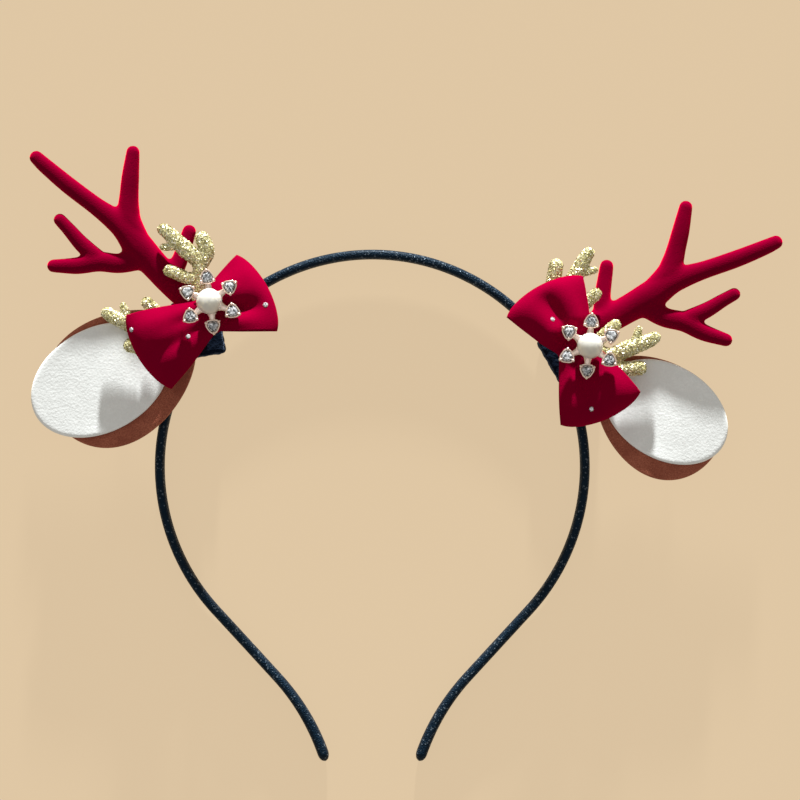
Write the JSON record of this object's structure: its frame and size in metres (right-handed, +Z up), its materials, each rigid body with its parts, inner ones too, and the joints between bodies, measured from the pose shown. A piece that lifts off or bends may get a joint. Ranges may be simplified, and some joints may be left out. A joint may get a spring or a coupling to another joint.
{
  "type": "christmas headband",
  "caption": "Slim open hair band with a glued cluster on each side: red flocked antler, gold glitter sprigs, ribbon bow, snowflake brooch with pearl, and brown deer ear.",
  "frame": {"origin": "middle of the bounding box, on the surface that the headband lies on", "axes": "+X across the band from antler tip to antler tip, +Y towards the band's crown, +Z up from the surface, towards the decorated front"},
  "size_m": [0.2076, 0.1716, 0.0333],
  "materials": {
    "cover": "navy-black cloth cover with a fine sparkle along the outer edge",
    "pad": "dark navy felt",
    "flock": "short red flock over moulded plastic",
    "glitter": "pale gold glitter flakes on a moulded twig",
    "ribbon": "red velvet ribbon with a soft sheen",
    "gold": "polished rose-gold plating",
    "pearl": "white-cream imitation pearl",
    "crystal": "clear cut stone with a foil back",
    "velvet": "brown velvet with a copper sheen",
    "felt": "white fuzzy felt"
  },
  "bodies": {
    "root": {"band": "cover", "pad_left": "pad", "antler_left": "flock", "glitter_sprig_up_left": "glitter", "glitter_sprig_out_left": "glitter", "bow_left": "ribbon", "bow_crystal_left_1": "crystal", "bow_crystal_left_2": "crystal", "bow_crystal_left_3": "crystal", "brooch_setting_left": "gold", "pearl_left": "pearl", "brooch_crystal_left_1": "crystal", "brooch_crystal_left_2": "crystal", "brooch_crystal_left_3": "crystal", "brooch_crystal_left_4": "crystal", "brooch_crystal_left_5": "crystal", "brooch_crystal_left_6": "crystal", "ear_outer_left": "velvet", "ear_inner_left": "felt", "pad_right": "pad", "antler_right": "flock", "glitter_sprig_up_right": "glitter", "glitter_sprig_out_right": "glitter", "bow_right": "ribbon", "bow_crystal_right_1": "crystal", "bow_crystal_right_2": "crystal", "brooch_setting_right": "gold", "pearl_right": "pearl", "brooch_crystal_right_1": "crystal", "brooch_crystal_right_2": "crystal", "brooch_crystal_right_3": "crystal", "brooch_crystal_right_4": "crystal", "brooch_crystal_right_5": "crystal", "brooch_crystal_right_6": "crystal", "ear_outer_right": "velvet", "ear_inner_right": "felt"}
  },
  "joints": []
}
